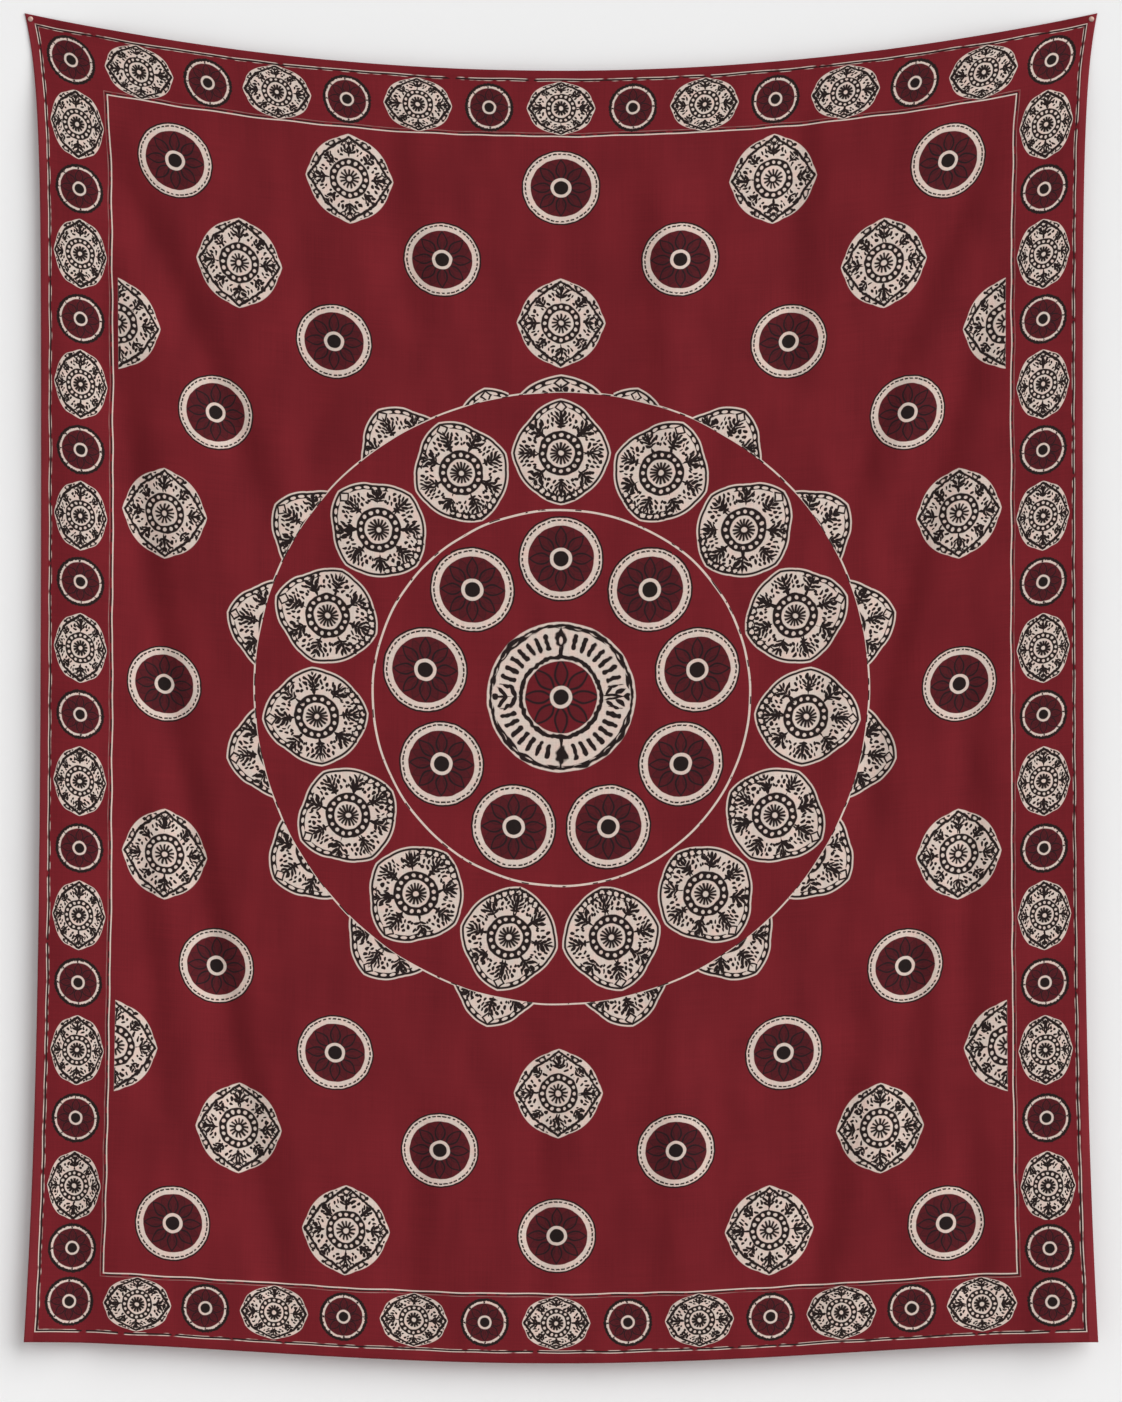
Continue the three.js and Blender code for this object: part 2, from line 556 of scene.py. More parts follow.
@dataclass(frozen=True)
class BorderRoundel(Roundel):
    """The smaller roundel of the border, with a ragged rim and a ring that breaks."""

    ring_out: float = 0.878
    ring_in: float = 0.790
    petal_to: float = 0.77
    petal_half: float = 0.150
    heart_out: float = 0.284
    heart_in: float = 0.202
    soft: float = 0.030
    ring_fray: float = 0.06
    rim_out: float = 0.995
    breaks: int = 8
    break_share: float = 0.045
    break_soft: float = 0.04
    break_fray: float = 0.10

    def rim_ink(self, spot: Spot) -> Shade:
        """Draws the ragged rim, and the breaks in the ring.

        Args:
            spot: the place on the block.

        Returns:
            The mask of its ink.
        """
        gap = spot.rough.times(self.break_fray, spot.angle * (self.breaks / math.tau)).fold(0.5)
        ring = self.within(spot, self.ring_out)
        flaw = gap.under(self.break_share, self.break_soft) * ring
        return self.within(spot, self.rim_out) - ring | flaw


@dataclass(frozen=True)
class Medallion:
    """A four-tipped medallion with an ogee frame, sprigs and a wheel hub."""

    edge: float = 0.940
    tip: float = 0.070
    tip_spread: float = 0.27
    frame_at: float = 0.950
    frame_fall: float = 0.70
    frame_half: float = 0.022
    frame_fray: float = 0.030
    edge_bare: float = 0.02
    diamond_at: float = 0.872
    diamond: float = 0.078
    diamond_half: float = 0.025
    hub: Hub = Hub()
    foliage: Foliage = Foliage(
        on_axis=(
            Leaf(0.000, 0.655, 0, 0.028, 0.170),
            Leaf(0.000, 0.795, 0, 0.056, 0.038),
            Leaf(0.072, 0.605, 55, 0.024, 0.062),
            Leaf(0.090, 0.700, 38, 0.026, 0.070),
            Leaf(0.175, 0.640, 20, 0.024, 0.045),
            Leaf(0.180, 0.530, 60, 0.022, 0.034),
            Leaf(0.262, 0.600, 25, 0.022, 0.036),
            Leaf(0.225, 0.885, 0, 0.030, 0.024),
            Leaf(0.490, 0.745, 0, 0.034, 0.032),
            Leaf(0.330, 0.860, 60, 0.022, 0.040),
        ),
        on_diagonal=(
            Leaf(0.000, 0.630, 0, 0.025, 0.120),
            Leaf(0.066, 0.590, 50, 0.024, 0.056),
            Leaf(0.086, 0.670, 60, 0.024, 0.046),
            Leaf(0.095, 0.510, -10, 0.023, 0.034),
            Leaf(0.000, 0.730, 0, 0.060, 0.034),
        ),
        loops=(Leaf(0.375, 0.765, -55, 0.060, 0.090), Leaf(0.140, 0.790, -55, 0.044, 0.068)),
    )
    soft: float = 0.018

    def coats(self, spot: Spot) -> Coats:
        """Draws the medallion.

        Args:
            spot: the place on the block.

        Returns:
            Its coats.
        """
        soft = self.soft
        quarter, x, y = spot.from_axis()
        tip = quarter.share(-1 / self.tip_spread, 1.0)
        edge = tip.times(self.tip, self.edge)
        whole = spot.reach.under(edge, soft)
        frame = abs(x.times(self.frame_fall, y - self.frame_at))
        ink = frame.under(spot.rough.times(self.frame_fray, self.frame_half), soft)
        ink = ink | (x + abs(y - self.diamond_at)).near(self.diamond, self.diamond_half, soft)
        ink = ink | self.foliage.ink(spot, x, y) | self.hub.ink(spot, soft)
        return Coats(0.0, whole, ink * spot.reach.under(edge - self.edge_bare, soft))


def border_medallion() -> Medallion:
    """Cuts the smaller medallion of the border, whose lines are as thick as the large one's."""
    foliage = replace(Medallion.foliage, spread=1.25)
    hub = Hub(ray_half=0.036)
    return Medallion(frame_half=0.034, diamond=0.088, diamond_half=0.032, hub=hub, foliage=foliage)


@dataclass(frozen=True)
class CellBand:
    """An inked band inside the edge of a wheel, with a row of bare oval cells."""

    depth: float
    half: float
    cells: int
    squash: float
    size: float
    size_soft: float
    fray: float = 0.0

    def ink(self, spot: Spot, depth: Shade, turn: Shade, soft: float) -> Shade:
        """Draws the band.

        Args:
            spot: the place on the block.
            depth: the distance inside the edge.
            turn: the angle from the main tip.
            soft: the softness of the printed edge.

        Returns:
            The mask of its ink.
        """
        along = turn.from_spoke(self.cells)
        off = spot.rough.times(self.fray, depth - self.depth)
        cell = (along * along + off * off * self.squash).under(self.size, self.size_soft)
        return (abs(off).under(self.half, soft) - cell).share(1.0, 0.0)


@dataclass(frozen=True)
class Bulge:
    """A swelling or a dip of a wheel's edge, at an angle from its main tip."""

    height: float
    angle: float
    spread: float


@dataclass(frozen=True)
class Wheel:
    """A round medallion with one long tip, beaded bands and eight sprigs about its hub."""

    edge: float = 0.985
    bulges: tuple[Bulge, ...] = (
        Bulge(0.155, 0.0, 0.70),
        Bulge(0.095, math.pi, 0.55),
        Bulge(0.048, math.pi / 2, 0.32),
        Bulge(-0.030, 0.85, 0.35),
    )
    rim: float = 0.056
    rim_half: float = 0.023
    sprig_depth: float = 0.07
    head: CellBand = CellBand(0.106, 0.050, 34, 4.2, 0.0042, 0.0016)
    tail: CellBand = CellBand(0.162, 0.078, 40, 1.6, 0.0030, 0.0014, 0.08)
    diamond_at: float = 0.965
    diamond: float = 0.112
    diamond_half: float = 0.026
    # angles from the main tip, with their softness last: the middle and half the reach of the
    # head band, the start of the tail band, and the end of the diamond
    head_turn: Point = (0.62, 0.46, 0.03)
    tail_turn: Pair = (2.45, 0.04)
    diamond_turn: Pair = (0.4, 0.05)
    hub: Hub = Hub(
        ring=0.378, ring_half=0.092, bead=0.039, star=0.112, eye=0.054, rays=16, ray_to=0.230
    )
    foliage: Foliage = Foliage(
        on_axis=(
            Leaf(0.000, 0.680, 0, 0.025, 0.210),
            Leaf(0.000, 0.560, 0, 0.066, 0.026),
            Leaf(0.068, 0.635, 55, 0.022, 0.062),
            Leaf(0.085, 0.725, 40, 0.025, 0.070),
            Leaf(0.066, 0.820, 28, 0.024, 0.062),
            Leaf(0.165, 0.590, 40, 0.022, 0.036),
            Leaf(0.180, 0.700, 15, 0.024, 0.040),
            Leaf(0.165, 0.815, 25, 0.023, 0.036),
            Leaf(0.262, 0.545, 0, 0.025, 0.030),
            Leaf(0.278, 0.655, 20, 0.023, 0.040),
            Leaf(0.255, 0.770, 20, 0.023, 0.036),
        ),
        on_diagonal=(
            Leaf(0.000, 0.660, 0, 0.025, 0.190),
            Leaf(0.066, 0.600, 58, 0.022, 0.060),
            Leaf(0.080, 0.690, 42, 0.026, 0.076),
            Leaf(0.062, 0.795, 25, 0.026, 0.064),
            Leaf(0.160, 0.735, 30, 0.024, 0.050),
            Leaf(0.155, 0.610, 10, 0.022, 0.028),
        ),
    )
    soft: float = 0.016

    def coats(self, spot: Spot) -> Coats:
        """Draws the wheel.

        Args:
            spot: the place on the block.

        Returns:
            Its coats.
        """
        soft = self.soft
        _, x, y = spot.from_axis()
        turn = abs(spot.angle)
        edge: Shade | float = self.edge
        for bulge in self.bulges:
            swell = abs(turn - bulge.angle).share(-1 / bulge.spread, 1.0)
            edge = swell.times(bulge.height, edge)
        depth = edge - spot.reach
        whole = depth.over(0.0, soft)
        sprigs = self.foliage.ink(spot, x, y) * depth.over(self.sprig_depth, soft)
        ink = self.border(spot, depth, turn) | sprigs
        return Coats(0.0, whole, ink * whole | self.hub.ink(spot, soft))

    def border(self, spot: Spot, depth: Shade, turn: Shade) -> Shade:
        """Draws the line inside the edge, the beaded bands and the diamond at the tip.

        Args:
            spot: the place on the block.
            depth: the distance inside the edge.
            turn: the angle from the main tip.

        Returns:
            The mask of its ink.
        """
        soft = self.soft
        line = depth.near(self.rim, self.rim_half, soft)
        head = self.head.ink(spot, depth, turn, soft) * turn.near(*self.head_turn)
        tail = self.tail.ink(spot, depth, turn, soft) * turn.over(*self.tail_turn)
        tip = abs(spot.x) + abs(spot.y - self.diamond_at)
        tip = tip.near(self.diamond, self.diamond_half, soft) * turn.under(*self.diamond_turn)
        return line | head | tail | tip


@dataclass(frozen=True)
class Centre:
    """The great roundel in the middle: a band of strokes and lances round a flower."""

    rim: float = 0.952
    beads: int = 26
    bead: float = 0.018
    bead_squash: float = 0.36
    band: float = 0.940
    strokes: int = 38
    stroke_half: float = 0.015
    stroke_at: float = 0.750
    stroke_reach: float = 0.078
    stroke_fray: float = 0.032
    stroke_from: float = 0.19
    dark: float = 0.533
    dark_half: Pair = (0.036, 0.012)
    dark_sway: float = 0.03
    rim_half: Pair = (0.02, 0.008)
    band_half: Pair = (0.060, 0.008)
    band_fray: float = 0.10
    pale_in: float = 0.483
    soft: float = 0.012
    heart: Roundel = Roundel(
        petal_from=0.12,
        petal_to=0.510,
        petal_half=0.084,
        petal_line=0.014,
        ground_shade=0.12,
        petal_shade=0.20,
        line_shade=0.85,
        second_row=0.0,
        heart_out=0.150,
        heart_in=0.104,
    )
    lance: Foliage = Foliage(
        on_axis=(
            Leaf(0.000, 0.775, 0, 0.074, 0.110),
            Leaf(0.000, 0.880, 0, 0.034, 0.075),
            Leaf(0.000, 0.610, 0, 0.020, 0.090),
        ),
        spread=0.60,
    )
    eye: Leaf = Leaf(0.000, 0.755, 0, 0.030, 0.060)
    eye_edge: Pair = (0.7, 0.6)
    eye_top: float = 0.1
    turn_soft: float = 0.02
    palmette: Foliage = Foliage(
        on_axis=(
            Leaf(0.000, 0.745, 0, 0.024, 0.190),
            Leaf(0.000, 0.885, 0, 0.042, 0.045),
            Leaf(0.070, 0.790, 42, 0.027, 0.090),
            Leaf(0.085, 0.650, 55, 0.026, 0.080),
            Leaf(0.145, 0.730, 25, 0.022, 0.050),
        ),
        spread=0.55,
    )

    def coats(self, spot: Spot) -> Coats:
        """Draws the great roundel.

        Args:
            spot: the place on the block.

        Returns:
            Its coats.
        """
        r, soft = spot.radius, self.soft
        quarter, x, y = spot.from_axis()
        whole = r.under(1.0, soft)
        pale = r.under(self.pale_in, soft)
        flower = self.heart.flower(spot) * pale
        heart = r.under(self.heart.heart_out, soft)
        upright = (abs(spot.y) - abs(spot.x)).over(0.0, self.turn_soft)
        eye = self.eye.reach(x, y).under(*self.eye_edge) * spot.y.over(0.0, self.eye_top)
        lance = (self.lance.ink(spot, x, y) - eye).share(1.0, 0.0)
        signs = lance * upright | self.palmette.ink(spot, x, y) * (1 - upright)
        wander = spot.press.times(self.dark_sway, r)
        dark = wander.near(self.dark, spot.rough.times(*self.dark_half), soft)
        ink = self.rim_ink(spot, quarter) | dark | r.under(self.heart.heart_in, soft) | signs
        return Coats(flower, whole - pale | heart, ink | self.stroke_ink(spot, quarter))

    def rim_ink(self, spot: Spot, quarter: Shade) -> Shade:
        """Draws the uneven line inside the rim, which swells into a pierced band off the axes.

        Args:
            spot: the place on the block.
            quarter: the angle from the nearest axis.

        Returns:
            The mask of its ink.
        """
        soft = self.soft
        line = spot.radius.near(self.rim, spot.rough.times(*self.rim_half), soft)
        along = spot.angle.from_spoke(self.beads) * self.bead_squash
        off = spot.radius - self.band
        bead = spot.tree.span(along, off).under(self.bead, soft)
        half = spot.press.times(self.band_fray, quarter.times(*self.band_half))
        return line | (abs(off).under(half, soft) - bead).share(1.0, 0.0)

    def stroke_ink(self, spot: Spot, quarter: Shade) -> Shade:
        """Draws the radial strokes, which leave the four axes free.

        Args:
            spot: the place on the block.
            quarter: the angle from the nearest axis.

        Returns:
            The mask of its ink.
        """
        turned = spot.angle + math.pi / self.strokes
        across = turned.from_spoke(self.strokes) * spot.radius
        beyond = abs(spot.radius - self.stroke_at) - self.stroke_reach
        past = spot.tree.math("MAXIMUM", beyond, 0.0)
        stroke = spot.rough.times(-self.stroke_fray, spot.tree.span(across, past))
        stroke = stroke.under(self.stroke_half, self.soft)
        return stroke * quarter.over(self.stroke_from, self.turn_soft)


# ---- layout of the print


@dataclass(frozen=True)
class Rule:
    """A printed line inside its guide, which breaks where a noise falls below an edge."""

    inside: float
    half: float
    broken_under: float = -1.0
    broken_soft: float = 0.1
    strength: float = 1.0

    def mask(self, distance: Shade, skip: Shade, soft: float) -> Shade:
        """Masks the line, from the distance inside its guide and the noise that breaks it."""
        line = distance.near(self.inside, self.half, soft)
        return line * skip.over(self.broken_under, self.broken_soft) * self.strength


@dataclass(frozen=True)
class Stamp:
    """One print of a block on the flat cloth."""

    block: Block
    across: float
    down: float
    half_width: float
    half_height: float
    turn: float = 0.0
    round_share: float = 0.42

    def local(self, across: float, down: float) -> Pair:
        """Finds a point of the cloth on the block, whose middle stays round where it is narrow.

        Args:
            across: the point's distance from the middle of the cloth.
            down: its distance below the top edge.

        Returns:
            Its place on the block, in units of the block's half height.
        """
        right, up = across - self.across, self.down - down
        x = (right * math.cos(self.turn) - up * math.sin(self.turn)) / self.half_height
        y = (right * math.sin(self.turn) + up * math.cos(self.turn)) / self.half_height
        aspect = self.half_width / self.half_height
        if aspect > 1:
            return x / aspect, y
        slack = max(0.0, abs(x) - self.round_share)
        stretch = (1 - self.round_share) / (aspect - self.round_share) - 1
        return x + math.copysign(slack * stretch, x), y


@dataclass(frozen=True)
class Layout:
    """Where every block is printed, and the ruled lines between them."""

    width: float = 2.2
    length: float = 2.7
    # the mandala in the middle
    centre_down: float = 1.309
    centre_radius: float = 0.1567
    roundel_ring: float = 0.289
    roundel_count: int = 9
    ring_roundel: float = 0.0893
    inner_circle: float = 0.395
    wheel_ring: float = 0.5145
    wheel_count: int = 15
    wheel_radius: float = 0.1010
    wheel_tip: float = 1.14
    wheel_seed: Pair = (3.7, 1.9)
    outer_circle: float = 0.6435
    circle_half: Pair = (0.0022, 0.0017)
    circle_ink: Rule = Rule(-0.0010, 0.0012, 0.62, 0.02)
    circle_stray: float = 0.4
    mandala_widen: float = 1.009
    mandala_squash: float = 1.006
    mandala_lower: float = 0.002
    mandala_sag: float = 0.027
    # the frame round the field
    frame_across: float = 0.950
    frame_top: float = 0.136
    frame_bottom: float = 2.5565
    frame_bare: tuple[Rule, ...] = (Rule(0.0013, 0.0013), Rule(-0.0056, 0.0006, 1.0, 2.0))
    frame_ink: Rule = Rule(-0.0016, 0.0014, 0.44, 0.03, 0.92)
    frame_stray: float = 0.7
    clip_band: Pair = (0.9465, 0.0095)
    # the line outside the border
    edge_line: float = 0.0178
    edge_line_drop: float = 0.0038
    edge_bare: tuple[Rule, ...] = (
        Rule(0.0, 0.0009, 2.2 / 6, 1 / 6),
        Rule(0.0048, 0.0006, 3.1 / 6, 1 / 6),
    )
    edge_ink: Rule = Rule(0.0025, 0.0016, 0.27, 0.03)
    edge_stray: float = 0.5
    # how far the ruled lines wander, and how closely they wander and break
    stray: float = 0.0028
    stray_scale: float = 13.0
    skip_scale: float = 38.0
    # border motifs
    row_pitch: float = 0.1454
    row_slip: float = 0.0085
    row_side: int = 7
    row_tops: Pair = (0.079, 2.616)
    column_across: float = 1.016
    column_first: float = 0.079
    column_pitch: float = 0.1316
    column_growth: float = 0.00022
    column_count: int = 18
    column_last: float = 2.507
    border_roundel: float = 0.0505
    border_medallion: Pair = (0.0555, 0.0705)

    # half sizes of the field's motifs, which print a little wider near the middle
    half_sizes: dict[Block, Pair] = field(
        default_factory=lambda: {
            Block.ROUNDEL: (0.0793, 0.0780),
            Block.MEDALLION: (0.0888, 0.0925),
        }
    )
    middle_widen: float = 0.045

    # field motifs: block, across, down; each with across above 0 has a mirror twin
    FIELD = (
        (Block.ROUNDEL, 0.812, 0.251),
        (Block.MEDALLION, 0.445, 0.245),
        (Block.ROUNDEL, 0.000, 0.245),
        (Block.ROUNDEL, 0.251, 0.401),
        (Block.MEDALLION, 0.680, 0.445),
        (Block.MEDALLION, 0.000, 0.528),
        (Block.ROUNDEL, 0.480, 0.587),
        (Block.MEDALLION, 0.937, 0.605),
        (Block.ROUNDEL, 0.731, 0.761),
        (Block.MEDALLION, 0.839, 0.983),
        (Block.ROUNDEL, 0.839, 1.335),
        (Block.MEDALLION, 0.837, 1.686),
        (Block.ROUNDEL, 0.725, 1.907),
        (Block.ROUNDEL, 0.472, 2.068),
        (Block.MEDALLION, 0.937, 2.088),
        (Block.MEDALLION, 0.000, 2.137),
        (Block.MEDALLION, 0.673, 2.239),
        (Block.ROUNDEL, 0.248, 2.260),
        (Block.MEDALLION, 0.443, 2.436),
        (Block.ROUNDEL, 0.807, 2.445),
        (Block.ROUNDEL, 0.000, 2.434),
    )
    # wheels that peep out from behind the mandala: angle in degrees, reach of the tip, width
    PEEPING = (
        (0.0, 0.674, 1.36),
        (14.2, 0.664, 1.00),
        (33.5, 0.704, 1.00),
        (58.5, 0.711, 1.00),
        (79.0, 0.720, 1.00),
        (103.3, 0.726, 1.00),
        (123.9, 0.732, 1.00),
        (145.0, 0.723, 1.00),
        (167.4, 0.707, 1.00),
    )

    @property
    def circle_middle(self) -> float:
        """The radius midway between the two circles."""
        return (self.inner_circle + self.outer_circle) / 2

    @property
    def circle_gap(self) -> float:
        """Half the distance between the two circles."""
        return (self.outer_circle - self.inner_circle) / 2

    def field_stamps(self) -> list[Stamp]:
        """Lays out the motifs of the field and the mandala, but for its ring of wheels.

        Returns:
            The stamps.
        """
        stamps = []
        for block, across, down in self.FIELD:
            half_width, half_height = self.half_sizes[block]
            half_width *= 1 + self.middle_widen * (1 - (across / self.frame_across) ** 2) ** 2
            for side in (1, -1) if across else (1,):
                stamps.append(Stamp(block, side * across, down, half_width, half_height))
        size = (self.ring_roundel * self.mandala_widen, self.ring_roundel)
        for k in range(self.roundel_count):
            across, down = self.about_centre(math.tau * k / self.roundel_count, self.roundel_ring)
            stamps.append(Stamp(Block.ROUNDEL, across * self.mandala_widen, down, *size))
        radius = self.wheel_radius
        for degrees, reach, width in self.PEEPING:
            for side in (1, -1) if degrees else (1,):
                turn = side * math.radians(degrees)
                place = self.about_centre(turn, reach - self.wheel_tip * radius)
                size = (radius * width, radius)
                stamps.append(Stamp(Block.CLIPPED_WHEEL, *place, *size, turn))
        middle = (0.0, self.centre_down, self.centre_radius, self.centre_radius)
        return [*stamps, Stamp(Block.CENTRE, *middle)]

    def border_stamps(self) -> list[Stamp]:
        """Lays out the motifs of the border, by turns along its rows and columns.

        Returns:
            The stamps.
        """
        roundel = (Block.BORDER_ROUNDEL, self.border_roundel, self.border_roundel)
        medallion = (Block.BORDER_MEDALLION, *self.border_medallion)
        stamps = []
        for row in self.row_tops:
            for k in range(-self.row_side, self.row_side + 1):
                slip = self.row_slip * math.sin(math.pi * k / self.row_side)
                block, *half = roundel if k % 2 else medallion
                turn = 0.0 if k % 2 else math.pi / 2
                stamps.append(Stamp(block, k * self.row_pitch + slip, row, *half, turn))
        for k in range(1, self.column_count + 1):
            down = self.column_first + k * (self.column_pitch + self.column_growth * k)
            if k == self.column_count:
                down = self.column_last
            block, *half = medallion if k % 2 else roundel
            for side in (1, -1):
                stamps.append(Stamp(block, side * self.column_across, down, *half))
        return stamps

    def about_centre(self, turn: float, radius: float) -> Pair:
        """Returns the point at an angle and a radius about the mandala's centre."""
        return radius * math.sin(turn), self.centre_down - radius * math.cos(turn)

    def on_mandala(self, across: Any, down: Any) -> tuple[Any, Any]:
        """Places a point right of the mandala's middle and above it, for numbers or Shades."""
        rise = (self.centre_down + self.mandala_lower - down) * self.mandala_squash
        return across * (1 / self.mandala_widen), rise + across * across * self.mandala_sag

    def in_border(self, across: float, down: float) -> bool:
        """Tells whether a point lies outside the frame of the field."""
        return abs(across) > self.frame_across or not self.frame_top < down < self.frame_bottom


class Printer:
    """Finds which stamp prints a given point of the cloth."""

    NEIGHBOURS = 6
    BLOCK_REACH = 1.16
    CELL_REACH = 0.009
    RING_INSIDE = 0.010
    RING_OUTSIDE = 0.0065

    def __init__(self, layout: Layout) -> None:
        """Sorts the stamps of a layout by place."""
        self.layout = layout
        self.field = self.sorted(layout.field_stamps())
        self.border = self.sorted(layout.border_stamps())

    @staticmethod
    def sorted(stamps: list[Stamp]) -> tuple[list[Stamp], kdtree.KDTree]:
        """Puts stamps in a tree that finds the nearest.

        Args:
            stamps: the stamps.

        Returns:
            The stamps and their tree.
        """
        tree = kdtree.KDTree(len(stamps))
        for index, stamp in enumerate(stamps):
            tree.insert((stamp.across, stamp.down, 0), index)
        tree.balance()
        return stamps, tree

    def stamp_at(self, across: float, down: float) -> tuple[Block, Stamp | None, int]:
        """Finds the block that prints a point.

        Args:
            across: the point's distance from the middle of the cloth.
            down: its distance below the top edge.

        Returns:
            The block, its stamp if it has one, and the stamp's number.
        """
        layout = self.layout
        border = layout.in_border(across, down)
        reach = math.hypot(*layout.on_mandala(across, down))
        rim = layout.outer_circle - self.RING_OUTSIDE
        if not border and layout.inner_circle - self.RING_INSIDE < reach < rim:
            return Block.WHEEL, None, 0
        stamps, tree = self.border if border else self.field
        best, best_gap, number = None, self.BLOCK_REACH, 0
        for _, index, distance in tree.find_n((across, down, 0), self.NEIGHBOURS):
            stamp = stamps[index]
            if stamp.block is Block.CLIPPED_WHEEL and reach < rim:
                continue
            gap = (distance - self.CELL_REACH) / max(stamp.half_width, stamp.half_height)
            if gap < best_gap:
                best, best_gap, number = stamp, gap, index
        return (best.block, best, number) if best else (Block.GROUND, None, 0)


# ---- printed cotton


@dataclass(frozen=True)
class Palette:
    """The colours of one side of the cloth."""

    ground: Colour
    ground_deep: Colour
    flower: Colour
    bare: Colour
    bare_warm: Colour
    ink: Colour


FACE = Palette(
    ground=dye(113, 29, 36),
    ground_deep=dye(103, 25, 32),
    flower=dye(31, 23, 26),
    bare=dye(207, 191, 180),
    bare_warm=dye(216, 188, 176),
    ink=dye(33, 24, 23),
)
REVERSE = Palette(
    ground=dye(138, 66, 70),
    ground_deep=dye(124, 56, 61),
    flower=dye(84, 44, 49),
    bare=dye(206, 186, 172),
    bare_warm=dye(206, 174, 160),
    ink=dye(88, 66, 64),
)


@dataclass(frozen=True)
class Patch:
    """A place on the flat cloth, in metres, and the tree that draws it."""

    tree: ShadeTree
    place: Shade
    across: Shade
    down: Shade

    def grain(self, across: float, down: float, detail: float = 0.0) -> Shade:
        """Adds noise with so many cells to the metre across and down."""
        place = self.tree.vector(self.across * across, self.down * down)
        return self.tree.noise(place, 1.0, detail)

    def from_centre(self, layout: Layout) -> Shade:
        """Returns the distance from the middle of the mandala."""
        return self.tree.span(*layout.on_mandala(self.across, self.down))


